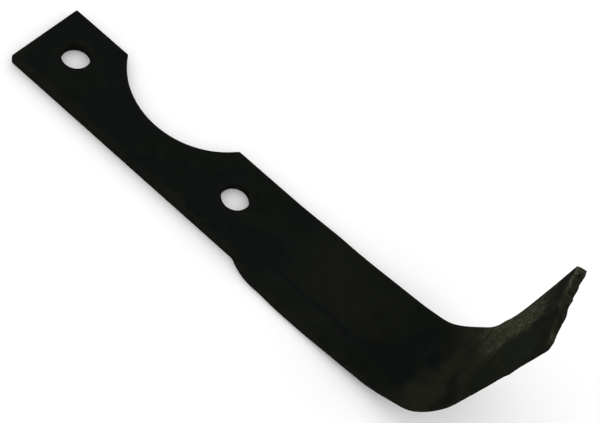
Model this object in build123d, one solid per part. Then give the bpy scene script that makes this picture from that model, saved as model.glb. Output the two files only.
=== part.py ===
from build123d import *
import math
import os

# Rotary tiller blade: one length of flat steel bar, punched, drop-forged along its
# cutting edge and bent into an L, with its foot sheared off at a slant.
# Millimetres. The shank lies flat on Z = 0 and runs along X, and the foot rises to +Z.
# The origin is midway between the two bolt holes, on the face that seats on the flange.

# Bar and bolt holes
bar_width = 40.0
bar_thickness = 5.0
bolt_spacing = 96.0
bolt_hole_diameter = 13.0
hole_to_square_end = 18.1
hole_to_notch_edge = 18.6
square_end_corner_radius = 1.5

# Round notch that clears the rotor tube, centred between the holes
notch_radius = 40.7
notch_depth = 18.2

# Blade: the widened, sharpened part beyond the second hole
hole_to_step = 17.7
step_length = 16.0
step_drop = 3.85
swell_length = 31.0
swell_at_notch_edge = 0.95
swell_at_cutting_edge = 0.5

# A point on the round of the step, as shares of its length and of its drop
step_round_along = 0.45
step_round_down = 0.76

# Bevel forged into the inner face along the cutting edge
bevel_width = 12.0
cutting_edge_land = 1.8
bevel_width_at_foot_end = 30.0

# A point on the bevel's run-in, as shares of the step's length and of the full bevel
run_in_along = 0.4
run_in_across = 0.7

# Bends, all upward, with radii on the outer face
set_radius = 205.0
set_angle = 5.0
run_before_bend = 23.3
bend_radius = 37.5
bend_angle = 79.1

# Foot: drawn out wider and thinner toward its sheared end, and swept slightly inward.
# Its notch edge flares by a power of the way along, and its cutting edge evenly.
foot_sweep_radius = 2800.0
foot_length_at_notch_edge = 47.4
foot_length_at_cutting_edge = 80.3
foot_flare_at_notch_edge = 11.2
foot_flare_power = 2.5
foot_flare_at_cutting_edge = 4.35
foot_end_thickness = 3.6

# Shear across the end of the foot: how far it leans through the bar's thickness, how far
# above the foot's low corner its line is aimed, and how round it leaves that corner
shear_lean = 2.25
shear_above_low_corner = 3.7
low_corner_radius = 3.6

# Torn line of the shear, from the notch edge to the cutting edge: how far along it
# each break lies, as a share, and how far it stands out from the straight cut
shear_breaks = [(0.09, 0.2), (0.16, -0.8), (0.32, -0.9), (0.37, -1.05), (0.43, -0.65),
                (0.48, -1.7), (0.54, -1.35), (0.64, 0.0), (0.69, 0.1), (0.80, -0.65),
                (0.88, -0.8), (0.99, 0.05)]

# Places along the foot where its section is drawn, the last of them beyond the shear
foot_stations = (0, 0.35, 0.7, 1.1)

# Edges left by rolling and forging
long_edge_round = 0.5

# How far cutting shapes pass beyond the bar's faces, in bar thicknesses, and how near
# two places count as one
cutter_reach = 2
nearly = 0.01

# Places worked out from the sizes above
hole_x = bolt_spacing / 2
square_end_x = -hole_x - hole_to_square_end
notch_edge_y = hole_to_notch_edge
back_edge_y = notch_edge_y - bar_width
notch_center_y = notch_edge_y + notch_radius - notch_depth
step_x = hole_x + hole_to_step
step_end_x = step_x + step_length
set_start_x = step_x + swell_length
blade_top_y = notch_edge_y + swell_at_notch_edge
blade_step_y = back_edge_y - step_drop
blade_low_y = blade_step_y - swell_at_cutting_edge
bevel_slope = (bar_thickness - cutting_edge_land) / bevel_width
through_bar = (2 * cutter_reach + 1) * bar_thickness


def blade_section(top_y, low_y, bevel, thickness):
    """Cross-section of the bevelled blade, on the YZ plane."""
    round_size = min(long_edge_round, thickness / 4)
    outline = Polyline(
        (low_y, 0),
        (top_y, 0),
        (top_y, thickness),
        (low_y + bevel, thickness),
        (low_y, cutting_edge_land),
        close=True,
    )
    section = make_face(outline)
    top_corners = section.vertices().group_by(Axis.X)[-1]
    return Plane.YZ * fillet(top_corners, round_size)


def turned(pose, radius, angle):
    """The pose reached by rolling upward through an angle on the outer radius."""
    return pose * Pos(0, 0, radius) * Rot(Y=-angle) * Pos(0, 0, -radius)


def bent(pose, section, radius, angle):
    """A stretch of blade bent upward, its outer face on the given radius."""
    center_line = Axis((0, 0, radius), (0, -1, 0))
    return pose * revolve(section, center_line, angle)


def shank_plan():
    """Flat outline of the shank and the blade as far as its first bend."""
    notch_half = math.sqrt(notch_radius**2 - (notch_center_y - notch_edge_y) ** 2)
    notch_bottom = (0, notch_edge_y - notch_depth)
    step_round_x = step_x + step_round_along * step_length
    step_round_y = back_edge_y - step_round_down * step_drop
    swell_start = (step_x, notch_edge_y)
    swell_end = (set_start_x, blade_top_y)
    along = (1, 0)
    step_end = (step_end_x, blade_step_y)
    low_end = (set_start_x, blade_low_y)
    outline = [
        Line((square_end_x, back_edge_y), (square_end_x, notch_edge_y)),
        Line((square_end_x, notch_edge_y), (-notch_half, notch_edge_y)),
        ThreePointArc((-notch_half, notch_edge_y), notch_bottom, (notch_half, notch_edge_y)),
        Line((notch_half, notch_edge_y), swell_start),
        Spline(swell_start, swell_end, tangents=(along, along)),
        Line(swell_end, low_end),
        Spline(low_end, step_end, tangents=((-1, 0), (-1, 0))),
        ThreePointArc(step_end, (step_round_x, step_round_y), (step_x, back_edge_y)),
        Line((step_x, back_edge_y), (square_end_x, back_edge_y)),
    ]
    return make_face(outline)


def bevel_cut_section(x, crease_y):
    """Wedge taken off above the bevel at one place along the flat blade."""
    reach = bar_width / 2
    outline = Polyline(
        (crease_y, bar_thickness),
        (crease_y - reach, bar_thickness - bevel_slope * reach),
        (crease_y - reach, bar_thickness + reach),
        (crease_y, bar_thickness + reach),
        close=True,
    )
    return Pos(X=x) * (Plane.YZ * make_face(outline))


def is_rolled_edge(edge):
    """Whether an edge of the flat shank is one of the bar's own long edges."""
    middle = edge.center()
    on_a_face = abs(middle.Z - bar_thickness / 2) > bar_thickness / 4
    on_notch_edge = middle.Y > notch_edge_y - nearly
    on_back_edge = abs(middle.Y - back_edge_y) < nearly
    return on_a_face and (on_notch_edge or on_back_edge)


def flat_shank():
    """Shank with its notch, bolt holes and step, and the start of the bevel."""
    body = extrude(shank_plan(), bar_thickness)
    end_corners = body.edges().filter_by(Axis.Z).group_by(Axis.X)[0]
    body = fillet(end_corners, square_end_corner_radius)
    body = fillet(body.edges().filter_by(is_rolled_edge), long_edge_round)
    for side in (-1, 1):
        body -= Pos(side * hole_x, 0) * Cylinder(bolt_hole_diameter / 2, through_bar)
    crease_y = blade_low_y + bevel_width
    run_in_x = step_x + run_in_along * step_length
    run_in_y = back_edge_y + run_in_across * (crease_y - back_edge_y)
    run_in = loft(
        [
            bevel_cut_section(step_x, back_edge_y),
            bevel_cut_section(run_in_x, run_in_y),
            bevel_cut_section(step_end_x, crease_y),
        ]
    )
    full_bevel = extrude(bevel_cut_section(step_end_x, crease_y), set_start_x - step_end_x)
    return body - run_in - full_bevel


def notch_edge_flare(length):
    """How far the foot's notch edge has flared at a distance along it."""
    return foot_flare_at_notch_edge * (length / foot_length_at_notch_edge) ** foot_flare_power


def foot_section(start, share):
    """Section and pose of the foot at a share of its longer edge."""
    length = share * foot_length_at_cutting_edge
    sweep_angle = math.degrees(length / foot_sweep_radius)
    low_flare = foot_flare_at_cutting_edge * share
    section = blade_section(
        blade_top_y + notch_edge_flare(length),
        blade_low_y - low_flare,
        bevel_width + share * (bevel_width_at_foot_end - bevel_width),
        bar_thickness + share * (foot_end_thickness - bar_thickness),
    )
    return turned(start, foot_sweep_radius, sweep_angle) * section


def shear_cut(start):
    """What the shear takes off the end of the foot, along a torn and leaning line."""
    low_y = blade_low_y - foot_flare_at_cutting_edge
    top = Vector(foot_length_at_notch_edge, blade_top_y + foot_flare_at_notch_edge)
    low = Vector(foot_length_at_cutting_edge, low_y + shear_above_low_corner)
    along = low - top
    drawn_length = foot_stations[-1] * foot_length_at_cutting_edge
    above_foot = blade_top_y + notch_edge_flare(drawn_length) + bar_width
    line_start = top + along * ((above_foot - top.Y) / along.Y)
    outward = Vector(-along.Y, along.X).normalized()
    breaks = [top + along * share + outward * stand for share, stand in shear_breaks]
    low_corner = Vector(foot_length_at_cutting_edge, low_y)
    below_foot = low_corner - Vector(bar_width / 2, foot_flare_at_cutting_edge / 2)
    line = [line_start, top, *breaks, low_corner, below_foot]
    beyond = foot_length_at_cutting_edge + bar_width
    corners = [(point.X, point.Y) for point in line]
    corners += [(below_foot.X, -bar_width), (beyond, -bar_width), (beyond, above_foot)]
    face = make_face(Polyline(*corners, close=True))
    face = fillet(face.vertices().sort_by_distance(low_corner)[0], low_corner_radius)
    lean = Vector(-shear_lean, 0, bar_thickness)
    below = Pos(cutter_reach * shear_lean, 0, -cutter_reach * bar_thickness) * face
    through_foot = through_bar * lean.length / bar_thickness
    return start * extrude(below, amount=through_foot, dir=lean.normalized())


def tiller_blade():
    """The whole blade as one solid."""
    section = blade_section(blade_top_y, blade_low_y, bevel_width, bar_thickness)
    at_set = Pos(X=set_start_x)
    at_run = turned(at_set, set_radius, set_angle)
    at_bend = at_run * Pos(X=run_before_bend)
    at_foot = turned(at_bend, bend_radius, bend_angle)
    foot = loft([foot_section(at_foot, share) for share in foot_stations])
    blade = flat_shank()
    blade += bent(at_set, section, set_radius, set_angle)
    blade += at_run * extrude(section, run_before_bend)
    blade += bent(at_bend, section, bend_radius, bend_angle)
    blade += foot
    return blade - shear_cut(at_foot)


os.makedirs("parts", exist_ok=True)
blade = tiller_blade()
export_step(blade, "parts/tiller_blade.step")
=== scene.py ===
import math
from collections import namedtuple
from functools import partial

import bpy
import numpy as np
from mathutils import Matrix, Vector, noise


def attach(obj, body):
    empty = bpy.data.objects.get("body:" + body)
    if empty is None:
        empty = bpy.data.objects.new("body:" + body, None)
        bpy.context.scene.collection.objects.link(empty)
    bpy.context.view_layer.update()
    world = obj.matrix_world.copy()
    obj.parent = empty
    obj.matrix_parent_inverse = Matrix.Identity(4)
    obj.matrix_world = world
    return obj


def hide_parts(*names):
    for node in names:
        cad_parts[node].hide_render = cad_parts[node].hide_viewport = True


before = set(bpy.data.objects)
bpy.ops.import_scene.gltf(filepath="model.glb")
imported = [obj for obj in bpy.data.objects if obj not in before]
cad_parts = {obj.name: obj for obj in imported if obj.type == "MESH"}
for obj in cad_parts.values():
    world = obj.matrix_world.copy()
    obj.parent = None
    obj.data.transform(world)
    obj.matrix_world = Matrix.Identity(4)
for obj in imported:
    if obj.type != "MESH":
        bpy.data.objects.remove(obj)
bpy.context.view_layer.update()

# One millimetre in the scene's metres
MM = 0.001

# Bar, bolt holes and rotor notch, in millimetres
BAR_WIDTH = 40.0
BAR_THICKNESS = 5.0
BOLT_SPACING = 96.0
HOLE_RADIUS = 6.5
SQUARE_END = -66.1
NOTCH_EDGE = 18.6
NOTCH_RADIUS = 40.7
NOTCH_DEPTH = 18.2
BACK_EDGE = NOTCH_EDGE - BAR_WIDTH

# Step where the bar widens into the blade, and the swell after it
STEP = 65.7
STEP_LENGTH = 16.0
STEP_DROP = 3.85
STEP_ROUND = (0.45, 0.76)
SWELL_LENGTH = 31.0
SWELL_TOP = 0.95
SWELL_LOW = 0.5

# Forged bevel along the cutting edge, and a point on its run-in, as shares of the step's
# length and of the full bevel
BEVEL_WIDTH = 12.0
BEVEL_WIDTH_AT_END = 30.0
CUTTING_LAND = 1.8
CREASE_SOFTNESS = 0.45
RUN_IN = (0.4, 0.7)

# How far above the face the bevel's slope is held where there is no bevel
NO_BEVEL = 1.0

# Bends of the outer face, each a length along it and the angle it turns through
SET_RADIUS = 205.0
SET_ANGLE = 5.0
RUN_BEFORE_BEND = 23.3
BEND_RADIUS = 37.5
BEND_ANGLE = 79.1
FOOT_SWEEP_RADIUS = 2800.0

# Foot, and the torn line of the shear across its end
FOOT_TOP_LENGTH = 47.4
FOOT_LOW_LENGTH = 80.3
FOOT_TOP_FLARE = 11.2
FOOT_FLARE_POWER = 2.5
FOOT_LOW_FLARE = 4.35
FOOT_END_THICKNESS = 3.6
SHEAR_LEAN = 2.25
SHEAR_ABOVE_LOW_CORNER = 3.7
SHEAR_BREAKS = [(0.0, 0.0), (0.09, 0.2), (0.16, -0.8), (0.32, -0.9), (0.37, -1.05),
                (0.43, -0.65), (0.48, -1.7), (0.54, -1.35), (0.64, 0.0), (0.69, 0.1),
                (0.80, -0.65), (0.88, -0.8), (0.99, 0.05)]

# How far the hammer drove the foot's notch edge in, and then out again, along its length,
# and the share of it over which that begins
FOOT_TOP_SWAY = 1.5
SWAY_BEGINS = 0.2

# Where the bend drew the edges in and squeezed them out: distance before the foot, height
# and reach
TOP_SWELLS = [(34.0, -0.8, 7.0), (17.0, 0.9, 8.0)]
LOW_SWELLS = [(24.0, 1.2, 8.0), (6.0, -0.8, 7.0)]

# Bump that the hammer left on the foot's cutting edge: its place, height and reach
LOW_EDGE_STEP = (52.0, 0.8, 3.2)

# Trough that the shear pressed beside the torn end: its distance, reach and depth
END_TROUGH = (6.0, 3.0, 0.8)

# How sharply each corner of the outline turns, as the reach of its rounding
EDGE_ROUND = 0.42
FINE_CORNER = 0.5
SQUARE_CORNER = 0.7
TIP_LOW_CORNER = 1.3
TIP_TOP_CORNER = 0.6

# How fine the mesh is
OUTLINE_GAP = 0.1
SHANK_COLUMNS = 330
FOOT_COLUMNS = 100
ROWS = 84
HOLE_RINGS = 6
HOLE_WINDOW = 9.0
END_BLEND_COLUMNS = 30
ROUND_STEPS = 4
WALL_STEPS = 6

# How far a corner's rounding is worked out, and how far it fades in, in its own reaches
BLUR_REACHES = 4
CORNER_REACHES = 3

# How many outline points either side give its direction, and how many the tearing fades over
NORMAL_POINTS = 3
TORN_FADE_POINTS = 15

# How far beyond the notch and from the square end a wall still counts as punched
NOTCH_MARGIN = 0.5
SQUARE_END_MARGIN = 0.6

# Random unevenness: how far apart its fields lie for two seeds, how fast its finer layers
# fade, and how much finer each one is
SEED_STEP = (17.3, 5.1, 29.7)
RELIEF_FALL = 1.0
RELIEF_FINER = 2.0

# Unevenness left by rolling, forging, punching and shearing: size of the bumps, then depth
ROLLED_WAVES = (26.0, 0.05)
FORGED_WAVES = (8.0, 0.16)
TORN_BITES = (5.0, 0.6)
TORN_TEETH = (1.7, 0.16)
TORN_GRAIN = (1.3, 0.42)
HOLE_DISH = (1.6, 0.12)
ROLLED_CROWN = 0.11

# How the hammer's marks are drawn out along the blade, and how much deeper they are on the
# foot, how far beyond the bend that begins and over what length it grows
HAMMER_STRETCH = (0.45, 1.0, 1.0)
FOOT_WAVES = (2.0, 10.0, 30.0)

# Torn wall: how far its grain leans toward broken out, the share of its height over which
# the break begins below the inner face, and where and how much it eases above the outer one
TORN_BIAS = 0.4
TORN_BEGINS = 0.3
TORN_EASES = (0.75, 0.6)

# Where a hole's wall breaks out, as a share of its height, and how far it stands back there
HOLE_BREAKOUT = (0.4, 0.08)

# How far from the torn end the shear's lean is felt, and how near the slanting end is for
# each millimetre along the blade
LEAN_REACH = 16.0
END_SLANT = 0.88

# Finishes of the blade's faces, in the order of its materials
DIPPED, PUNCHED, TORN = 0, 1, 2

# Paint and steel colours, in linear light, and how glossy the paint is
PAINT_BLACK = (0.0046, 0.0052, 0.0049, 1)
PAINT_BLUE = (0.0041, 0.0048, 0.0052, 1)
PAINT_OLIVE = (0.0055, 0.0061, 0.0049, 1)
EDGE_OLIVE = (0.0086, 0.0090, 0.0062, 1)
# Pale film tones, which also stand in as painted sheen on the foot's inner face
FILM_OLIVE_SHEEN = (0.0290, 0.0302, 0.0188, 1)
FILM_PALE_SHEEN = (0.0550, 0.0570, 0.0385, 1)
# Painted highlight where the bend turns toward the light
BEND_HIGHLIGHT_OLIVE = (0.0138, 0.0144, 0.0098, 1)
# Green-grey of the foot's bevel, partly painted sheen
BEVEL_GREEN_SHEEN = (0.0064, 0.0079, 0.0052, 1)
# Blue-black, for stains and for the painted shade along the crease
BLUE_BLACK = (0.0038, 0.0045, 0.0051, 1)
WORN_GREY = (0.0069, 0.0075, 0.0067, 1)
RUBBED_STEEL = (0.022, 0.023, 0.018, 1)
PIT_BLACK = (0.0018, 0.0020, 0.0018, 1)
# Tone of the painted shade in the trough, also laid as a stain on the torn end
TROUGH_GREY = (0.0064, 0.0066, 0.0044, 1)
TORN_GREY = (0.0138, 0.0143, 0.0096, 1)
TORN_DARK = (0.0060, 0.0062, 0.0044, 1)
TORN_PALE = (0.026, 0.027, 0.018, 1)
# Painted highlight on the torn end's rim
TORN_RIM_HIGHLIGHT = (0.046, 0.048, 0.038, 1)
PAINT_GLOSS = 0.002

# Stains of the paint on the flat blade, with painted highlights on the bend (the first two) and
# partly painted sheen on the foot's bevel (the third): middle, reach, tone and strength
STAINS_AND_PAINTED_LIGHT = [
    ((192, 2, 5), (37, 34, 9), BEND_HIGHLIGHT_OLIVE, 0.7),
    ((171, -21, 5), (19, 12, 9), BEND_HIGHLIGHT_OLIVE, 0.5),
    ((238, -20, 4), (48, 18, 9), BEVEL_GREEN_SHEEN, 0.9),
    ((104, -2, 5), (38, 32, 9), WORN_GREY, 0.8),
    ((151, -2, 5), (20, 16, 9), BLUE_BLACK, 0.85),
    ((-16, -9, 5), (27, 13, 9), BLUE_BLACK, 0.8),
    ((-60, 8, 5), (7, 12, 9), BLUE_BLACK, 0.5),
]

# Stains of the torn end, given the same way; the second is a painted highlight
TORN_STAINS_AND_PAINTED_LIGHT = [
    ((262, -10, 3), (12, 15, 9), TROUGH_GREY, 0.6),
    ((268, -23, 2), (7, 4, 4), TORN_RIM_HIGHLIGHT, 0.35),
    ((273, -31, 1), (6, 5, 4), TORN_DARK, 0.9),
    ((238, 28, 3), (7, 6, 9), TORN_PALE, 0.8),
]

# A pattern of random patches: its fineness and number of layers, the span of the noise in
# which it turns, the two values that it turns between, and how the noise itself is drawn
Patches = namedtuple("Patches", "scale detail span values roughness distortion",
                     defaults=(0.55, 0.0))

# Mottle of the paint, and how far its warm patches lie from its cool ones
COOL_PATCHES = Patches(1, 3, (0.46, 0.66), (0, 1), distortion=0.6)
WARM_PATCHES = Patches(1, 4, (0.5, 0.72), (0, 1), distortion=0.9)
SPECKLE = Patches(9, 4, (0.3, 0.7), (-0.0005, 0.0005))
WARM_SHIFT = (60, 20, 5)

# Edge wear, scratches and the borders of stains and of patches of painted light
WEAR_BREAKS = Patches(1, 5, (0.3, 0.7), (-0.5, 0.9), 0.7)
SCRATCHES = Patches(1, 3, (0.62, 0.72), (0, 1), 0.6, 0.35)
SCRATCHED_AREAS = Patches(0.12, 2, (0.45, 0.6), (0, 1))
PATCH_WANDER = Patches(1, 4, (0.3, 0.7), (-0.35, 0.35))
SCRATCH_STRETCH = (11, 1, 1)
PATCH_SCALE = 1.7

# Scale grain: layers and roughness, fineness of its pits and of the pitted areas beside it,
# and depth of the pits
GRAIN_DETAIL = (6, 0.65)
PIT_SCALE = 0.6
PITTED_AREAS = 0.15
PIT_DEPTH = 0.8

# Which way the hammer drew the marks on the foot, in degrees on the flat blade, and how far
# it drew out the film's flecks and its palest marks, and how far the painted shade in the trough is
# drawn out
BEATEN_ANGLE = -33
FLECK_STRETCH = 3.5
PALE_STRETCH = 3
SHADE_STRETCH = 2.2

# Pale film and painted sheen of the foot's inner face: where it begins beyond the bend, how it
# slants across the blade, and its patches
SHEEN_FILM_START = (-4.0, 20.0)
SHEEN_FILM_SLANT = 1.1
SHEEN_FILM_WANDER = Patches(0.14, 5, (0.3, 0.7), (-4, 4), 0.62)
SHEEN_FILM_CREASE_SWAY = (-2.2, 2.2)
FLECKS = Patches(0.5, 6, (0.36, 0.6), (0.3, 1.0), 0.68)
SMEARS = Patches(0.13, 3, (0.36, 0.62), (0.5, 1.0), 0.6)
PALE_MARKS = Patches(0.8, 5, (0.5, 0.66), (0, 1), 0.7, 0.4)

# Painted shade along the crease and in the trough, and the painted highlight on the torn end's rim
CREASE_WANDER = Patches(0.07, 2, (0.3, 0.7), (-0.8, 0.8))
CREASE_BREAKS = Patches(0.11, 5, (0.38, 0.6), (0.2, 1.0))
CREASE_INTO_BEND = 10.0
SHADE_PATCHES = Patches(0.2, 4, (0.38, 0.56), (0.2, 0.85), 0.6)
RIM_WANDER = Patches(0.5, 4, (0.3, 0.7), (-0.6, 0.6))

# Fades: two distances in millimetres, or two shares of a reach, and the strength at each
SHEEN_FILM_ABOVE_CREASE = (-0.5, 5.0, 0.1, 1.0)
SHEEN_FILM_BELOW_FACE = (0.8, 2.0, 1.0, 0.0)
SHEEN_FILM_FROM_END = (6.5, 23.0, 0.2, 1.0)
CREASE_CORE = (0.1, 1.7, 0.5, 0.0)
CREASE_BAND = (0.3, 4.5, 0.3, 0.0)
SHADE_FROM_TROUGH = (1.0, 6.0, 1.0, 0.0)
SHADE_BELOW_FACE = (0.8, 1.6, 1.0, 0.0)
BACK_EDGE_WEAR = (-19.0, -12.0, 0.55, 0.15)
RIM_UP_THE_END = (9.0, 15.0, 0.05, 1.0)
RIM_FADE = (0.4, 1.6, 0.9, 0.0)
PIT_FADE = (0.12, 0.34, 1.0, 0.0)
WEAR_FADE = (0.1, 1.1, 1.0, 0.0)
PATCH_FADE = (0.2, 1.1, 1.0, 0.0)

# How strongly scratches and pits show
SCUFF_STRENGTH = 0.1
PAINTED_PIT_STRENGTH = 0.15
TORN_PIT_STRENGTH = 0.6

# Roughness of each finish at the low and the high end of its grain, and the grain's depth
GRAIN_SPAN = (0.2, 0.8)
PAINT_ROUGHNESS = (0.84, 0.72)
PAINT_BUMP = 0.1
PUNCHED_ROUGHNESS = (0.7, 0.55)
PUNCHED_BUMP = 0.15
TORN_ROUGHNESS = (0.8, 0.6)
TORN_BUMP = 0.25
PUNCH_STRETCH = (1, 1, 8)

# Studio: floor in metres, and the light tent
FLOOR_REACH = 4
FLOOR_HEIGHT = -0.0003
FLOOR_COLOR = (0.84, 0.81, 0.93, 1)
FLOOR_ROUGHNESS = 0.7
TENT_COLOR = (0.965, 1.0, 0.875, 1)
TENT_STRENGTH = 1.31

# Camera: place in millimetres, turn in degrees, lens and sensor in millimetres, and the
# nearest that it sees in metres
CAMERA_PLACE = (143.37, -236.87, 419.83)
CAMERA_TURN = (29.2447, -14.3769, 39.7039)
LENS = 67.81
SENSOR_WIDTH = 36.0
CLIP_START = 0.01

# Places worked out from the sizes above
hole_s = BOLT_SPACING / 2
hole_stations = (-hole_s, hole_s)
notch_center = NOTCH_EDGE + NOTCH_RADIUS - NOTCH_DEPTH
notch_half = math.sqrt(NOTCH_RADIUS**2 - (notch_center - NOTCH_EDGE) ** 2)
set_s = STEP + SWELL_LENGTH
run_s = set_s + SET_RADIUS * math.radians(SET_ANGLE)
bend_s = run_s + RUN_BEFORE_BEND
foot_s = bend_s + BEND_RADIUS * math.radians(BEND_ANGLE)
blade_low = BACK_EDGE - STEP_DROP - SWELL_LOW
crease_line = blade_low + BEVEL_WIDTH


def eased(share):
    """A share from 0 to 1 with a soft start and stop."""
    share = np.clip(share, 0, 1)
    return share * share * (3 - 2 * share)


def circle_through(a, b, c):
    """Centre and radius of the circle through three points."""
    rows = np.array([[b[0] - a[0], b[1] - a[1]], [c[0] - a[0], c[1] - a[1]]])
    sides = np.array([np.dot(b, b) - np.dot(a, a), np.dot(c, c) - np.dot(a, a)]) / 2
    center = np.linalg.solve(rows, sides)
    return center, math.dist(center, a)


def swelling(s, swells):
    """How far an edge stands out at a station where the bend drew or squeezed it."""
    return sum(height * np.exp(-(((s - foot_s + before) / reach) ** 2))
               for before, height, reach in swells)


def top_edge(s):
    """Where the notch-side edge lies at a station along the flat blade."""
    swell = SWELL_TOP * eased((s - STEP) / SWELL_LENGTH)
    foot_share = np.maximum(s - foot_s, 0) / FOOT_TOP_LENGTH
    sway = FOOT_TOP_SWAY * np.sin(2 * math.pi * foot_share) * eased(foot_share / SWAY_BEGINS)
    flare = FOOT_TOP_FLARE * foot_share**FOOT_FLARE_POWER - sway + swelling(s, TOP_SWELLS)
    notch = notch_center - np.sqrt(np.maximum(NOTCH_RADIUS**2 - s**2, 0))
    return np.where(np.abs(s) < notch_half, notch, NOTCH_EDGE + swell + flare)


def low_edge(s):
    """Where the cutting-side edge lies at a station along the flat blade."""
    start = (STEP, BACK_EDGE)
    bulge = (STEP + STEP_ROUND[0] * STEP_LENGTH, BACK_EDGE - STEP_ROUND[1] * STEP_DROP)
    end = (STEP + STEP_LENGTH, BACK_EDGE - STEP_DROP)
    center, radius = circle_through(start, bulge, end)
    on_step = np.clip(s, start[0], end[0])
    step = center[1] - np.sqrt(radius**2 - (on_step - center[0]) ** 2)
    swell = SWELL_LOW * eased((s - end[0]) / (set_s - end[0]))
    flare = FOOT_LOW_FLARE * np.maximum(s - foot_s, 0) / FOOT_LOW_LENGTH
    place, height, reach = LOW_EDGE_STEP
    bump = height * np.exp(-(((s - foot_s - place) / reach) ** 2))
    out = swell + flare + bump + swelling(s, LOW_SWELLS)
    return np.where(s < STEP, BACK_EDGE, step - out)


def relief(places, size, octaves, seed):
    """Smooth random unevenness between about -1 and 1, its bumps about one size across."""
    away = Vector([seed * step for step in SEED_STEP])
    heights = [noise.fractal(Vector(place) + away, RELIEF_FALL, RELIEF_FINER, octaves)
               for place in places / size]
    return np.array(heights)


def spaced(line, gap):
    """The same line with its points at an even gap."""
    steps = np.linalg.norm(np.diff(line, axis=0), axis=1)
    along = np.concatenate([[0.0], np.cumsum(steps)])
    wanted = np.linspace(0, along[-1], int(along[-1] / gap) + 1)
    return np.stack([np.interp(wanted, along, line[:, k]) for k in (0, 1)], axis=1)


def softened(loop, reach):
    """A closed line with its corners rounded over a reach."""
    width = int(BLUR_REACHES * reach / OUTLINE_GAP)
    offsets = np.arange(-width, width + 1) * OUTLINE_GAP
    weights = np.exp(-0.5 * (offsets / reach) ** 2)
    weights /= weights.sum()
    padded = np.concatenate([loop[-width:], loop, loop[:width]])
    return np.stack([np.convolve(padded[:, k], weights, "valid") for k in (0, 1)], axis=1)


def torn_line():
    """Points of the shear across the foot's end, from the cutting edge to the notch edge."""
    top = np.array([FOOT_TOP_LENGTH, top_edge(foot_s) + FOOT_TOP_FLARE])
    low_corner = np.array([FOOT_LOW_LENGTH, blade_low - FOOT_LOW_FLARE])
    along = low_corner + (0, SHEAR_ABOVE_LOW_CORNER) - top
    outward = np.array([-along[1], along[0]]) / np.linalg.norm(along)
    points = [top + along * share + outward * stand for share, stand in SHEAR_BREAKS]
    points.append(low_corner)
    return np.array(points[::-1]) + (foot_s, 0)


def outline():
    """Closed outline of the unrolled blade, and where its four corners are along it."""
    end = torn_line()
    low_s = np.arange(SQUARE_END, end[0][0], OUTLINE_GAP)
    top_s = np.arange(end[-1][0], SQUARE_END, -OUTLINE_GAP)
    low = np.stack([low_s, low_edge(low_s)], axis=1)
    top = np.stack([top_s, top_edge(top_s)], axis=1)
    corners = np.array([[SQUARE_END, BACK_EDGE], end[0], end[-1], [SQUARE_END, NOTCH_EDGE]])
    loop = spaced(np.concatenate([low, end, top, corners[3:], corners[:1]]), OUTLINE_GAP)[:-1]
    shape = softened(loop, FINE_CORNER)
    reaches = (SQUARE_CORNER, TIP_LOW_CORNER, TIP_TOP_CORNER, SQUARE_CORNER)
    for corner, reach in zip(corners, reaches):
        away = np.linalg.norm(loop - corner, axis=1)
        share = eased(2 - away / (CORNER_REACHES * reach))[:, None]
        shape = shape * (1 - share) + softened(loop, reach) * share
    marks = [int(np.argmin(np.linalg.norm(shape - corner, axis=1))) for corner in corners]
    shape = np.roll(shape, -marks[0], axis=0)
    marks = [(mark - marks[0]) % len(shape) for mark in marks]
    return shape, marks


def inward_normals(loop):
    """Directions into the steel along a closed outline."""
    ahead = np.roll(loop, -NORMAL_POINTS, axis=0) - np.roll(loop, NORMAL_POINTS, axis=0)
    ahead /= np.linalg.norm(ahead, axis=1)[:, None]
    return np.stack([-ahead[:, 1], ahead[:, 0]], axis=1)


def at_index(values, index):
    """Values between the points of a closed line, at whole or part indices."""
    whole = np.floor(index).astype(int)
    part = (index - whole)[:, None]
    return values[whole % len(values)] * (1 - part) + values[(whole + 1) % len(values)] * part


def side_stations(loop, start, stop):
    """Indices along a long side: even along the shank, then even along the foot."""
    count = abs(stop - start)
    index = start + np.sign(stop - start) * np.arange(count + 1)
    s = loop[index % len(loop), 0]
    shank_s = np.linspace(s[0], foot_s, SHANK_COLUMNS + 1)
    shank = np.interp(shank_s, s, index)
    foot = np.linspace(shank[-1], stop, FOOT_COLUMNS + 1)[1:]
    return np.concatenate([shank, foot])


def end_at(v):
    """Station of the torn end at a place across the blade."""
    line = torn_line()
    order = np.argsort(line[:, 1])
    return np.interp(v, line[order, 1], line[order, 0])


def crease_at(s):
    """Where the bevel's crease lies at a station along the flat blade."""
    share = np.maximum(s - foot_s, 0) / FOOT_LOW_LENGTH
    on_foot = blade_low - share * FOOT_LOW_FLARE + bevel_width_at(share)
    run = np.clip((s - STEP) / STEP_LENGTH, 0, 1)
    along, across = RUN_IN
    bow = (across - along) / (along - along**2)
    run_in = BACK_EDGE + (run + bow * (run - run**2)) * (crease_line - BACK_EDGE)
    return np.where(s < foot_s, run_in, on_foot)


def bevel_width_at(share):
    """Width of the bevel at a share of the foot's longer edge."""
    return BEVEL_WIDTH + share * (BEVEL_WIDTH_AT_END - BEVEL_WIDTH)


def front_height(s, v):
    """Height of the inner face above the outer one, with its thinned foot and its bevel."""
    share = np.maximum(s - foot_s, 0) / FOOT_LOW_LENGTH
    thickness = BAR_THICKNESS + share * (FOOT_END_THICKNESS - BAR_THICKNESS)
    slope = (thickness - CUTTING_LAND) / bevel_width_at(share)
    wedge = thickness + slope * (v - crease_at(s))
    wedge = np.where(s < STEP, thickness + NO_BEVEL, wedge)
    apart = thickness - wedge
    return (thickness + wedge - np.sqrt(apart**2 + CREASE_SOFTNESS**2)) / 2


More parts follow.
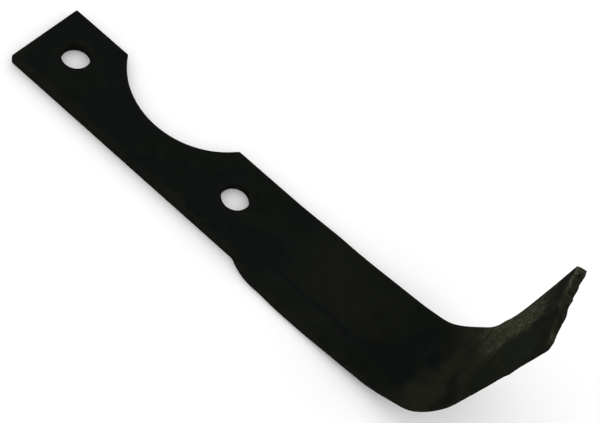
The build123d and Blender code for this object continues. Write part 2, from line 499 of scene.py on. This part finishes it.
def rolled(s, v, w):
    """The bent blade's points for places on the flat one, in metres."""
    starts = (set_s, run_s, bend_s, foot_s)
    radii = (SET_RADIUS, math.inf, BEND_RADIUS, FOOT_SWEEP_RADIUS)
    stops = (run_s, bend_s, foot_s, math.inf)
    angle = np.zeros_like(s)
    x = np.minimum(s, set_s)
    z = np.zeros_like(s)
    for start, radius, stop in zip(starts, radii, stops):
        length = np.clip(s, start, stop) - start
        turn = length / radius
        if math.isinf(radius):
            ahead, rise = length, np.zeros_like(s)
        else:
            ahead, rise = radius * np.sin(turn), radius * (1 - np.cos(turn))
        x += ahead * np.cos(angle) - rise * np.sin(angle)
        z += ahead * np.sin(angle) + rise * np.cos(angle)
        angle += turn
    return np.stack([x - w * np.sin(angle), v, z + w * np.cos(angle)], axis=1) * MM


class Shell:
    """Points and faces of the blade's skin, kept on the flat blade until it is rolled up."""

    def __init__(self):
        self.plan = []
        self.height = []
        self.count = 0
        self.faces = []
        self.finish = []

    def points(self, plan, height):
        """Adds points and gives their numbers."""
        self.plan.append(plan)
        self.height.append(height)
        numbers = np.arange(self.count, self.count + len(plan))
        self.count += len(plan)
        return numbers

    def quads(self, a, b, c, d, finish):
        """Adds four-sided faces from four lists of corners."""
        self.faces.append(np.stack([a, b, c, d], axis=1))
        self.finish.append(np.broadcast_to(finish, len(a)))


def face_grid(low, end, top, square):
    """Places on one broad face, evenly between its four sides."""
    share = np.linspace(0, 1, ROWS + 1)[None, :, None]
    grid = low[:, None] * (1 - share) + top[:, None] * share
    columns = np.arange(len(low))
    for side, column in ((square, 0), (end, len(low) - 1)):
        near = eased(1 - np.abs(columns - column) / END_BLEND_COLUMNS)[:, None, None]
        grid = grid + near * (side - grid[column])[None]
    return grid


def hole_window(grid, center_s):
    """First and last column and row of the square of the grid that holds a bolt hole."""
    columns = np.abs(grid[:, 0, 0][:, None] - (center_s - HOLE_WINDOW, center_s + HOLE_WINDOW))
    middle = int(np.argmin(np.abs(grid[:, 0, 0] - center_s)))
    rows = np.abs(grid[middle, :, 1][:, None] - (-HOLE_WINDOW, HOLE_WINDOW))
    return (*np.argmin(columns, axis=0), *np.argmin(rows, axis=0))


def around(numbers, window):
    """The border of a window in a grid, anticlockwise from its lowest corner."""
    c0, c1, r0, r1 = window
    return np.concatenate([numbers[c0:c1, r0], numbers[c1, r0:r1],
                           numbers[c1:c0:-1, r1], numbers[c0, r1:r0:-1]])


def hole_rings(shell, ring, plan, center_s, height_of):
    """Rings of faces from a square window to the rim of its bolt hole. Gives the rim."""
    center = np.array([center_s, 0.0])
    away = plan - center
    angles = np.arctan2(away[:, 1], away[:, 0])
    around_hole = np.stack([np.cos(angles), np.sin(angles)], axis=1)
    circle = center + (HOLE_RADIUS + EDGE_ROUND) * around_hole
    for k in range(1, HOLE_RINGS + 1):
        share = k / HOLE_RINGS
        ring_plan = plan * (1 - share) + circle * share
        following = shell.points(ring_plan, height_of(*ring_plan.T))
        shell.quads(ring, np.roll(ring, -1), np.roll(following, -1), following, DIPPED)
        ring = following
    return ring


def broad_face(shell, grid, height_of):
    """One broad face with its two bolt holes. Gives its rim and the rims of its holes."""
    columns, rows = grid.shape[:2]
    open_cell = np.zeros((columns - 1, rows - 1), bool)
    inner = np.zeros((columns, rows), bool)
    windows = [hole_window(grid, center_s) for center_s in hole_stations]
    for c0, c1, r0, r1 in windows:
        open_cell[c0:c1, r0:r1] = True
        inner[c0 + 1:c1, r0 + 1:r1] = True
    plan = grid[~inner]
    numbers = np.full((columns, rows), -1)
    numbers[~inner] = shell.points(plan, height_of(*plan.T))
    c, r = np.nonzero(~open_cell)
    shell.quads(numbers[c, r], numbers[c + 1, r], numbers[c + 1, r + 1], numbers[c, r + 1], DIPPED)
    rims = [around(numbers, (0, columns - 1, 0, rows - 1))]
    for center_s, window in zip(hole_stations, windows):
        ring, ring_plan = around(numbers, window), around(grid, window)
        rims.append(hole_rings(shell, ring, ring_plan, center_s, height_of))
    return rims


def edge_wall(shell, front, back, line, inward, hollow, finish):
    """Rounded edges and the wall between the rims of the inner and the outer face.
    hollow gives how far the wall stands back at each point, for shares of its height."""
    front_w = np.concatenate(shell.height)[front]
    back_w = np.concatenate(shell.height)[back]
    turn = np.linspace(0, math.pi / 2, ROUND_STEPS + 1)
    rings = [(EDGE_ROUND * (1 - math.sin(t)), front_w - EDGE_ROUND * (1 - math.cos(t)), 0.0)
             for t in turn[1:]]
    for k in range(1, WALL_STEPS + 1):
        share = k / (WALL_STEPS + 1)
        height = front_w * (1 - share) + back_w * share + EDGE_ROUND * (2 * share - 1)
        rings.append((0.0, height, share))
    rings += [(EDGE_ROUND * (1 - math.cos(t)), back_w + EDGE_ROUND * (1 - math.sin(t)), 1.0)
              for t in turn[:-1]]
    above = front
    for k, (step_in, height, share) in enumerate(rings):
        depth = step_in + hollow(share, height)
        ring = shell.points(line + inward * depth[:, None], height)
        shell.quads(above, ring, np.roll(ring, -1), np.roll(above, -1), finish)
        above = ring
    shell.quads(above, back, np.roll(back, -1), np.roll(above, -1), finish)


def from_end(s, v):
    """Distance from the torn end, in the plan."""
    return (end_at(v) - s) * END_SLANT


def near_holes(s, v):
    """Distance from the wall of the nearer bolt hole."""
    return np.hypot(np.abs(s) - hole_s, v) - HOLE_RADIUS


def bumps(places, waves, octaves, seed):
    """Smooth unevenness between nought and the waves' full depth."""
    size, depth = waves
    return np.maximum(depth * (1 + relief(places, size, octaves, seed)) / 2, 0)


def inner_face(s, v):
    """Height of the inner face as forged, never above its drawn height."""
    places = np.stack([s, v, np.zeros_like(s)], axis=1)
    blade = eased((s - STEP) / STEP_LENGTH)
    waves = bumps(places, ROLLED_WAVES, octaves=2, seed=1)
    extra, begins, grows = FOOT_WAVES
    beaten = blade * (1 + extra * eased((s - foot_s - begins) / grows))
    hammered = beaten * bumps(places * HAMMER_STRETCH, FORGED_WAVES, octaves=3, seed=2)
    dish = HOLE_DISH[1] * np.exp(-np.maximum(near_holes(s, v), 0) / HOLE_DISH[0])
    distance, reach, depth = END_TROUGH
    pressed = np.exp(-(((from_end(s, v) - distance) / reach) ** 2))
    pressed *= eased((top_edge(s) - v) / (2 * reach))
    trough = pressed * bumps(places, (FORGED_WAVES[0], depth), octaves=2, seed=8)
    return front_height(s, v) - waves - hammered - trough - dish


def outer_face(s, v):
    """Height of the outer face as forged, never below its drawn height."""
    places = np.stack([s, v, np.full_like(s, BAR_THICKNESS)], axis=1)
    blade = eased((s - bend_s) / SWELL_LENGTH)
    waves = bumps(places, ROLLED_WAVES, octaves=2, seed=3)
    return waves + blade * bumps(places, FORGED_WAVES, octaves=3, seed=4)


def bitten(shape, inward, marks):
    """The outline with bites and teeth in its torn end."""
    places = np.concatenate([shape, np.zeros((len(shape), 1))], axis=1)
    on_end = np.zeros(len(shape))
    on_end[marks[1]:marks[2]] = 1
    on_end = np.convolve(on_end, np.ones(TORN_FADE_POINTS) / TORN_FADE_POINTS, "same")
    bites = TORN_BITES[1] * np.maximum(relief(places, TORN_BITES[0], octaves=3, seed=5), 0)
    teeth = TORN_TEETH[1] * np.maximum(relief(places, TORN_TEETH[0], octaves=3, seed=6), 0)
    return shape + inward * (on_end * (bites + teeth))[:, None]


def wall_finish(line, torn_points):
    """How the outer wall was made at each point of its line."""
    punched = (np.abs(line[:, 0]) < notch_half + NOTCH_MARGIN) & (line[:, 1] > 0)
    punched |= line[:, 0] < SQUARE_END + SQUARE_END_MARGIN
    finish = np.where(punched, PUNCHED, DIPPED)
    finish[torn_points] = TORN
    return finish


def outer_hollow(line, finish, share, height):
    """How far the outer wall stands back at a share of its height: bowed where the bar was
    rolled, and broken away where its end was torn."""
    crown = ROLLED_CROWN * (2 * share - 1) ** 2 * (finish == DIPPED)
    eases, loss = TORN_EASES
    fade = eased(share / TORN_BEGINS) * (1 - loss * eased((share - eases) / (1 - eases)))
    places = np.concatenate([line, height[:, None]], axis=1)
    rough = TORN_BIAS + relief(places, TORN_GRAIN[0], octaves=3, seed=7)
    return crown + fade * TORN_GRAIN[1] * np.maximum(rough, 0) * (finish == TORN)


def hole_hollow(share, height):
    """How far a hole's wall stands back: cut clean above, broken out below."""
    clean, depth = HOLE_BREAKOUT
    return np.full_like(height, depth * max(share - clean, 0))


def hole_wall(shell, center_s, front, back):
    """The wall of one bolt hole, between the rims on the two broad faces."""
    outward = np.concatenate(shell.plan)[front] - (center_s, 0)
    outward /= np.linalg.norm(outward, axis=1)[:, None]
    line = outward * HOLE_RADIUS + (center_s, 0)
    edge_wall(shell, front, back, line, outward, hole_hollow, PUNCHED)


def blade_shell():
    """The whole skin of the blade, as it lies before it is rolled up."""
    shape, marks = outline()
    inward = inward_normals(shape)
    low_i = side_stations(shape, marks[0], marks[1])
    top_i = side_stations(shape, marks[3], marks[2])
    end_i = np.linspace(marks[1], marks[2], ROWS + 1)
    square_i = np.linspace(len(shape), marks[3], ROWS + 1)
    shape = bitten(shape, inward, marks)
    rim = shape + inward * EDGE_ROUND
    grid = face_grid(*[at_index(rim, index) for index in (low_i, end_i, top_i, square_i)])
    loop_i = np.concatenate([low_i[:-1], end_i[:-1], top_i[:0:-1], square_i[:0:-1]])
    line, line_in = at_index(shape, loop_i), at_index(inward, loop_i)
    finish = wall_finish(line, np.arange(len(low_i), len(low_i) + len(end_i) - 1) - 1)
    shell = Shell()
    fronts = broad_face(shell, grid, inner_face)
    face_count = len(shell.faces)
    backs = broad_face(shell, grid, outer_face)
    shell.faces[face_count:] = [faces[:, ::-1] for faces in shell.faces[face_count:]]
    hollow = partial(outer_hollow, line, finish)
    edge_wall(shell, fronts[0], backs[0], line, line_in, hollow, finish)
    for center_s, front, back in zip(hole_stations, fronts[1:], backs[1:]):
        hole_wall(shell, center_s, front, back)
    return shell


def edge_distance(s, v):
    """Distance from the nearest edge of the outline or a hole, in the plan."""
    sides = [s - SQUARE_END, v - low_edge(s), top_edge(s) - v, from_end(s, v)]
    return np.minimum(np.min(sides, axis=0), near_holes(s, v))


def leaned(s, v, w):
    """Stations moved by the shear's lean, which fades away from the torn end."""
    rise = np.maximum(s - foot_s, 0) ** 2 / (2 * FOOT_SWEEP_RADIUS)
    near_end = eased(1 - (end_at(v) - s) / LEAN_REACH)
    return s - SHEAR_LEAN * (w + rise) / BAR_THICKNESS * near_end


def forged_blade(materials):
    """The blade as one closed skin, rolled up from the flat, with what its finishes need."""
    shell = blade_shell()
    plan, w = np.concatenate(shell.plan), np.concatenate(shell.height)
    s, v = plan[:, 0], plan[:, 1]
    points = rolled(leaned(s, v, w), v, w)
    faces = np.concatenate(shell.faces)
    mesh = bpy.data.meshes.new("forged_blade")
    mesh.from_pydata(points.tolist(), [], faces.tolist())
    for material in materials:
        mesh.materials.append(material)
    mesh.polygons.foreach_set("material_index", np.concatenate(shell.finish).astype(np.int32))
    mesh.polygons.foreach_set("use_smooth", np.ones(len(faces), bool))
    flat = mesh.attributes.new("flat_place", "FLOAT_VECTOR", "POINT")
    flat.data.foreach_set("vector", np.stack([s, v, w], axis=1).ravel())
    distances = {"edge_distance": edge_distance(s, v), "end_distance": from_end(s, v),
                 "above_crease": v - crease_at(s), "below_face": front_height(s, v) - w}
    for name, values in distances.items():
        mesh.attributes.new(name, "FLOAT", "POINT").data.foreach_set("value", values)
    mesh.update()
    blade = bpy.data.objects.new("forged_blade", mesh)
    bpy.context.scene.collection.objects.link(blade)
    return blade


class Wiring:
    """Adds shader nodes to one tree and joins them up."""

    def __init__(self, tree):
        self.tree = tree

    def node(self, kind, inputs=(), **settings):
        """A node with its settings, each input given a value or another node's output."""
        made = self.tree.nodes.new(kind)
        for name, value in settings.items():
            setattr(made, name, value)
        for name, value in dict(inputs).items():
            if isinstance(value, bpy.types.NodeSocket):
                self.tree.links.new(value, made.inputs[name])
            else:
                made.inputs[name].default_value = value
        return made

    def attribute(self, name, output="Fac"):
        """A value that the blade's mesh carries."""
        return self.node("ShaderNodeAttribute", attribute_name=name).outputs[output]

    def axis(self, place, name):
        """One coordinate of a place."""
        return self.node("ShaderNodeSeparateXYZ", {"Vector": place}).outputs[name]

    def noise(self, place, scale, detail, roughness=0.55, distortion=0.0):
        """Random unevenness, from 0 to 1."""
        inputs = {"Vector": place, "Scale": scale, "Detail": detail, "Roughness": roughness,
                  "Distortion": distortion}
        return self.node("ShaderNodeTexNoise", inputs).outputs["Fac"]

    def ramp(self, value, low, high, start=0.0, end=1.0):
        """A soft climb from start to end as a value goes from low to high."""
        inputs = {"Value": value, "From Min": low, "From Max": high, "To Min": start,
                  "To Max": end}
        made = self.node("ShaderNodeMapRange", inputs, interpolation_type="SMOOTHSTEP")
        return made.outputs["Result"]

    def patches(self, place, pattern, scale=None):
        """Random patches of one pattern, its fineness multiplied by a scale if one is given."""
        fineness = pattern.scale if scale is None else self.product(scale, pattern.scale)
        rough = self.noise(place, fineness, pattern.detail, pattern.roughness, pattern.distortion)
        return self.ramp(rough, *pattern.span, *pattern.values)

    def drawn_out(self, place, stretch=(1, 1, 1), turn=0.0, shift=(0, 0, 0)):
        """Places for a pattern stretched along axes turned about the flat blade's normal."""
        inputs = {"Vector": place, "Scale": stretch, "Rotation": (0, 0, math.radians(turn)),
                  "Location": shift}
        return self.node("ShaderNodeMapping", inputs, vector_type="TEXTURE").outputs["Vector"]

    def beaten(self, place, stretch):
        """Places for a pattern drawn out the way the hammer marked the foot."""
        return self.drawn_out(place, stretch=(stretch, 1, 1), turn=BEATEN_ANGLE)

    def math(self, operation, a, b=0.0):
        """One step of arithmetic."""
        return self.node("ShaderNodeMath", {0: a, 1: b}, operation=operation).outputs["Value"]

    def product(self, first, *others):
        """Values multiplied together."""
        for other in others:
            first = self.math("MULTIPLY", first, other)
        return first

    def layered(self, color, layers):
        """A colour with others laid over it in turn, each through a mask of its own."""
        for mask, tone in layers:
            inputs = {"Fac": mask, "Color1": color, "Color2": tone}
            color = self.node("ShaderNodeMixRGB", inputs).outputs["Color"]
        return color

    def effect(self, group, inputs):
        """A shared effect placed in this tree with its own values."""
        return self.node("ShaderNodeGroup", inputs, node_tree=group).outputs


def new_effect(name, inputs, outputs):
    """The wiring of a new shader node group, and the values that it is given."""
    group = bpy.data.node_groups.new(name, "ShaderNodeTree")
    for label, kind in inputs.items():
        group.interface.new_socket(label, in_out="INPUT", socket_type="NodeSocket" + kind)
    for label, kind in outputs.items():
        group.interface.new_socket(label, in_out="OUTPUT", socket_type="NodeSocket" + kind)
    wiring = Wiring(group)
    return wiring, wiring.node("NodeGroupInput").outputs


def put_out(wiring, results):
    """Joins results to the outputs of an effect, and gives its node group."""
    wiring.node("NodeGroupOutput", results)
    return wiring.tree


def mottle_effect():
    """Soft patches of a cooler and a warmer tone over a base colour."""
    inputs = {"Place": "Vector", "Scale": "Float", "Base": "Color", "Cool": "Color",
              "Warm": "Color"}
    wiring, given = new_effect("mottle", inputs, {"Color": "Color"})
    place, scale = given["Place"], given["Scale"]
    away = wiring.drawn_out(place, shift=WARM_SHIFT)
    cool = wiring.patches(place, COOL_PATCHES, scale)
    warm = wiring.patches(away, WARM_PATCHES, scale)
    color = wiring.layered(given["Base"], [(cool, given["Cool"]), (warm, given["Warm"])])
    speckled = wiring.node("ShaderNodeBrightContrast",
                           {"Color": color, "Bright": wiring.patches(place, SPECKLE, scale)})
    return put_out(wiring, {"Color": speckled.outputs["Color"]})


def scale_grain_effect():
    """Height of forged scale under thin paint: fine grain, with pits where scale fell off."""
    inputs = {"Place": "Vector", "Scale": "Float", "Pit Share": "Float"}
    wiring, given = new_effect("scale_grain", inputs, {"Height": "Float", "Pits": "Float"})
    place, scale = given["Place"], given["Scale"]
    grain = wiring.noise(place, scale, *GRAIN_DETAIL)
    cells = wiring.node("ShaderNodeTexVoronoi",
                        {"Vector": place, "Scale": wiring.product(scale, PIT_SCALE)})
    hollow = wiring.ramp(cells.outputs["Distance"], *PIT_FADE)
    where = wiring.noise(place, wiring.product(scale, PITTED_AREAS), detail=2)
    here = wiring.math("GREATER_THAN", where, wiring.math("SUBTRACT", 1.0, given["Pit Share"]))
    pits = wiring.product(hollow, here)
    height = wiring.math("SUBTRACT", grain, wiring.product(pits, PIT_DEPTH))
    return put_out(wiring, {"Height": height, "Pits": pits})


def edge_wear_effect():
    """Where paint is thin or rubbed along the edges, in broken patches."""
    inputs = {"Place": "Vector", "Edge Distance": "Float", "Reach": "Float", "Scale": "Float"}
    wiring, given = new_effect("edge_wear", inputs, {"Mask": "Float"})
    near = wiring.math("DIVIDE", given["Edge Distance"], given["Reach"])
    breaks = wiring.patches(given["Place"], WEAR_BREAKS, given["Scale"])
    return put_out(wiring, {"Mask": wiring.ramp(wiring.math("ADD", near, breaks), *WEAR_FADE)})


def scuffs_effect():
    """Short fine scratches along one direction of the flat blade."""
    inputs = {"Place": "Vector", "Scale": "Float"}
    wiring, given = new_effect("scuffs", inputs, {"Mask": "Float"})
    lines = wiring.drawn_out(given["Place"], stretch=SCRATCH_STRETCH)
    scratch = wiring.patches(lines, SCRATCHES, given["Scale"])
    where = wiring.patches(given["Place"], SCRATCHED_AREAS, given["Scale"])
    return put_out(wiring, {"Mask": wiring.product(scratch, where)})


def patch_effect():
    """An uneven patch round one place on the blade."""
    inputs = {"Place": "Vector", "Middle": "Vector", "Reach": "Vector", "Scale": "Float"}
    wiring, given = new_effect("uneven_patch", inputs, {"Mask": "Float"})
    offset = wiring.node("ShaderNodeVectorMath", {0: given["Place"], 1: given["Middle"]},
                         operation="SUBTRACT").outputs["Vector"]
    shares = wiring.node("ShaderNodeVectorMath", {0: offset, 1: given["Reach"]},
                         operation="DIVIDE").outputs["Vector"]
    away = wiring.node("ShaderNodeVectorMath", {0: shares}, operation="LENGTH").outputs["Value"]
    wander = wiring.patches(given["Place"], PATCH_WANDER, given["Scale"])
    return put_out(wiring, {"Mask": wiring.ramp(wiring.math("ADD", away, wander), *PATCH_FADE)})


def patch_layers(wiring, effects, place, stains, axis):
    """The mask and tone of each of the stains and patches of painted light. How coarsely its border
    wanders goes by its reach along one axis of the flat blade."""
    layers = []
    for middle, reach, tone, strength in stains:
        inputs = {"Place": place, "Middle": middle, "Reach": reach,
                  "Scale": PATCH_SCALE / reach[axis]}
        mask = wiring.effect(effects["uneven_patch"], inputs)["Mask"]
        layers.append((wiring.product(mask, strength), tone))
    return layers


def new_material(name):
    """A new material, its wiring and its shader."""
    material = bpy.data.materials.new(name)
    material.use_nodes = True
    return material, Wiring(material.node_tree), material.node_tree.nodes["Principled BSDF"]


def feed_shader(wiring, shader, color, height, roughness, depth):
    """Joins a finish's colour, grain height and bump to its shader. Roughness is given for
    the low and the high grain, and depth in millimetres."""
    bump = wiring.node("ShaderNodeBump", {"Height": height, "Distance": depth * MM})
    dullness = wiring.ramp(height, *GRAIN_SPAN, *roughness)
    wiring.tree.links.new(color, shader.inputs["Base Color"])
    wiring.tree.links.new(dullness, shader.inputs["Roughness"])
    wiring.tree.links.new(bump.outputs["Normal"], shader.inputs["Normal"])
    shader.inputs["Specular IOR Level"].default_value = PAINT_GLOSS


def olive_film_and_sheen(wiring, place):
    """Where the paint dried to a pale olive film, laid on also as painted sheen: over the foot
    above the bevel's crease, from a slanting line where it leaves the bend as far as the trough at
    its end."""
    wander = wiring.patches(place, SHEEN_FILM_WANDER)
    slant = wiring.math("ADD", wiring.axis(place, "X"),
                        wiring.product(wiring.axis(place, "Y"), SHEEN_FILM_SLANT))
    along = wiring.ramp(wiring.math("ADD", slant, wander), foot_s + SHEEN_FILM_START[0],
                        foot_s + SHEEN_FILM_START[1])
    sway = wiring.ramp(wander, *SHEEN_FILM_WANDER.values, *SHEEN_FILM_CREASE_SWAY)
    above = wiring.math("ADD", wiring.attribute("above_crease"), sway)
    upper = wiring.ramp(above, *SHEEN_FILM_ABOVE_CREASE)
    inner = wiring.ramp(wiring.attribute("below_face"), *SHEEN_FILM_BELOW_FACE)
    end = wiring.math("ADD", wiring.attribute("end_distance"), wander)
    away_from_end = wiring.ramp(end, *SHEEN_FILM_FROM_END)
    marks = wiring.beaten(place, FLECK_STRETCH)
    flecks = wiring.patches(marks, FLECKS)
    smears = wiring.patches(marks, SMEARS)
    return wiring.product(along, upper, inner, away_from_end, flecks, smears)


def crease_shade(wiring, place):
    """Painted shade along the valley above the bevel's crease."""
    wander = wiring.patches(place, CREASE_WANDER)
    away = wiring.math("ABSOLUTE", wiring.math("ADD", wiring.attribute("above_crease"), wander))
    x = wiring.axis(place, "X")
    begun = wiring.ramp(x, STEP, STEP + STEP_LENGTH)
    left = wiring.ramp(x, bend_s + CREASE_INTO_BEND, foot_s, 1, 0)
    core = wiring.product(wiring.ramp(away, *CREASE_CORE), wiring.patches(place, CREASE_BREAKS))
    line = wiring.math("ADD", core, wiring.ramp(away, *CREASE_BAND))
    return wiring.product(line, begun, left)


def trough_shade(wiring, place):
    """Painted shade in the pressed trough beside the torn end, in patches."""
    from_middle = wiring.math("SUBTRACT", wiring.attribute("end_distance"), END_TROUGH[0])
    here = wiring.ramp(wiring.math("ABSOLUTE", from_middle), *SHADE_FROM_TROUGH)
    inner = wiring.ramp(wiring.attribute("below_face"), *SHADE_BELOW_FACE)
    patches = wiring.patches(wiring.beaten(place, SHADE_STRETCH), SHADE_PATCHES)
    return wiring.product(here, inner, patches)


def black_dip_paint(effects):
    """Thin black dip paint over forged scale, stained where it pooled and where it wore, with
    painted sheen on the foot, painted highlights on the bend and painted shade along the crease and
    in the trough.
    """
    material, wiring, shader = new_material("black_dip_paint")
    place = wiring.attribute("flat_place", "Vector")
    edge = wiring.attribute("edge_distance")
    paint = wiring.effect(effects["mottle"], {"Place": place, "Scale": 0.04, "Base": PAINT_BLACK,
                                              "Cool": PAINT_BLUE, "Warm": PAINT_OLIVE})
    grain = wiring.effect(effects["scale_grain"], {"Place": place, "Scale": 1.1, "Pit Share": 0.42})
    wear = wiring.effect(effects["edge_wear"], {"Place": place, "Edge Distance": edge,
                                                "Reach": 4.5, "Scale": 0.12})
    scuffs = wiring.effect(effects["scuffs"], {"Place": place, "Scale": 0.9})
    toward_back = wiring.ramp(wiring.axis(place, "Y"), *BACK_EDGE_WEAR)
    film_and_sheen = olive_film_and_sheen(wiring, place)
    pale = wiring.patches(wiring.beaten(place, PALE_STRETCH), PALE_MARKS)
    layers = [
        (wiring.product(wear["Mask"], toward_back), EDGE_OLIVE),
        *patch_layers(wiring, effects, place, STAINS_AND_PAINTED_LIGHT, axis=0),
        # Painted shade along the bevel's crease
        (crease_shade(wiring, place), BLUE_BLACK),
        # Pale film and its palest marks, partly painted sheen on the foot's inner face
        (film_and_sheen, FILM_OLIVE_SHEEN),
        (wiring.product(film_and_sheen, pale), FILM_PALE_SHEEN),
        # Painted shade in the trough beside the torn end
        (trough_shade(wiring, place), TROUGH_GREY),
        (wiring.product(scuffs["Mask"], SCUFF_STRENGTH), RUBBED_STEEL),
        (wiring.product(grain["Pits"], PAINTED_PIT_STRENGTH), PIT_BLACK),
    ]
    color = wiring.layered(paint["Color"], layers)
    feed_shader(wiring, shader, color, grain["Height"], PAINT_ROUGHNESS, PAINT_BUMP)
    return material


def punched_steel(effects):
    """Walls that the punch left, drawn along the punch's way and thinly painted."""
    material, wiring, shader = new_material("punched_steel")
    place = wiring.attribute("flat_place", "Vector")
    paint = wiring.effect(effects["mottle"], {"Place": place, "Scale": 0.2, "Base": WORN_GREY,
                                              "Cool": PAINT_BLACK, "Warm": EDGE_OLIVE})
    drawn = wiring.drawn_out(place, stretch=PUNCH_STRETCH)
    grain = wiring.effect(effects["scale_grain"], {"Place": drawn, "Scale": 1.6, "Pit Share": 0.3})
    feed_shader(wiring, shader, paint["Color"], grain["Height"], PUNCHED_ROUGHNESS, PUNCHED_BUMP)
    return material


def torn_steel(effects):
    """The sheared and torn end, its raw steel dulled by the dip, with a painted highlight along its
    rim.
    """
    material, wiring, shader = new_material("torn_steel")
    place = wiring.attribute("flat_place", "Vector")
    steel = wiring.effect(effects["mottle"], {"Place": place, "Scale": 0.3, "Base": TORN_GREY,
                                              "Cool": TORN_DARK, "Warm": TORN_PALE})
    grain = wiring.effect(effects["scale_grain"], {"Place": place, "Scale": 1.3, "Pit Share": 0.6})
    wander = wiring.patches(place, RIM_WANDER)
    below = wiring.math("SUBTRACT", wiring.attribute("below_face"), wander)
    upper = wiring.ramp(wiring.axis(place, "Y"), *RIM_UP_THE_END)
    layers = [
        *patch_layers(wiring, effects, place, TORN_STAINS_AND_PAINTED_LIGHT, axis=1),
        # Painted highlight along the torn end's rim
        (wiring.product(wiring.ramp(below, *RIM_FADE), upper), TORN_RIM_HIGHLIGHT),
        (wiring.product(grain["Pits"], TORN_PIT_STRENGTH), PIT_BLACK),
    ]
    color = wiring.layered(steel["Color"], layers)
    feed_shader(wiring, shader, color, grain["Height"], TORN_ROUGHNESS, TORN_BUMP)
    return material


def studio_floor():
    """A plain pale floor just under the blade."""
    mesh = bpy.data.meshes.new("studio_floor")
    corners = [(-1, -1), (1, -1), (1, 1), (-1, 1)]
    mesh.from_pydata([(x * FLOOR_REACH, y * FLOOR_REACH, FLOOR_HEIGHT) for x, y in corners],
                     [], [(0, 1, 2, 3)])
    material = bpy.data.materials.new("pale_floor")
    material.use_nodes = True
    shader = material.node_tree.nodes["Principled BSDF"]
    shader.inputs["Base Color"].default_value = FLOOR_COLOR
    shader.inputs["Roughness"].default_value = FLOOR_ROUGHNESS
    mesh.materials.append(material)
    floor = bpy.data.objects.new("studio_floor", mesh)
    bpy.context.scene.collection.objects.link(floor)


def photo_camera():
    """A camera that looks at the blade as the photograph does."""
    data = bpy.data.cameras.new("camera")
    data.sensor_width = SENSOR_WIDTH
    data.lens = LENS
    data.clip_start = CLIP_START
    camera = bpy.data.objects.new("camera", data)
    camera.location = Vector(CAMERA_PLACE) * MM
    camera.rotation_euler = [math.radians(angle) for angle in CAMERA_TURN]
    bpy.context.scene.collection.objects.link(camera)
    bpy.context.scene.camera = camera


def soft_light():
    """Even light from all round, as in a light tent."""
    world = bpy.data.worlds.new("light_tent")
    world.use_nodes = True
    tent = world.node_tree.nodes["Background"]
    tent.inputs["Color"].default_value = TENT_COLOR
    tent.inputs["Strength"].default_value = TENT_STRENGTH
    bpy.context.scene.world = world
    bpy.context.scene.view_settings.view_transform = "Standard"


effects = {"mottle": mottle_effect(), "scale_grain": scale_grain_effect(),
           "edge_wear": edge_wear_effect(), "scuffs": scuffs_effect(), "uneven_patch": patch_effect()}
blade = forged_blade([black_dip_paint(effects), punched_steel(effects), torn_steel(effects)])
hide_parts("tiller_blade")
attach(blade, "root")
studio_floor()
soft_light()
photo_camera()
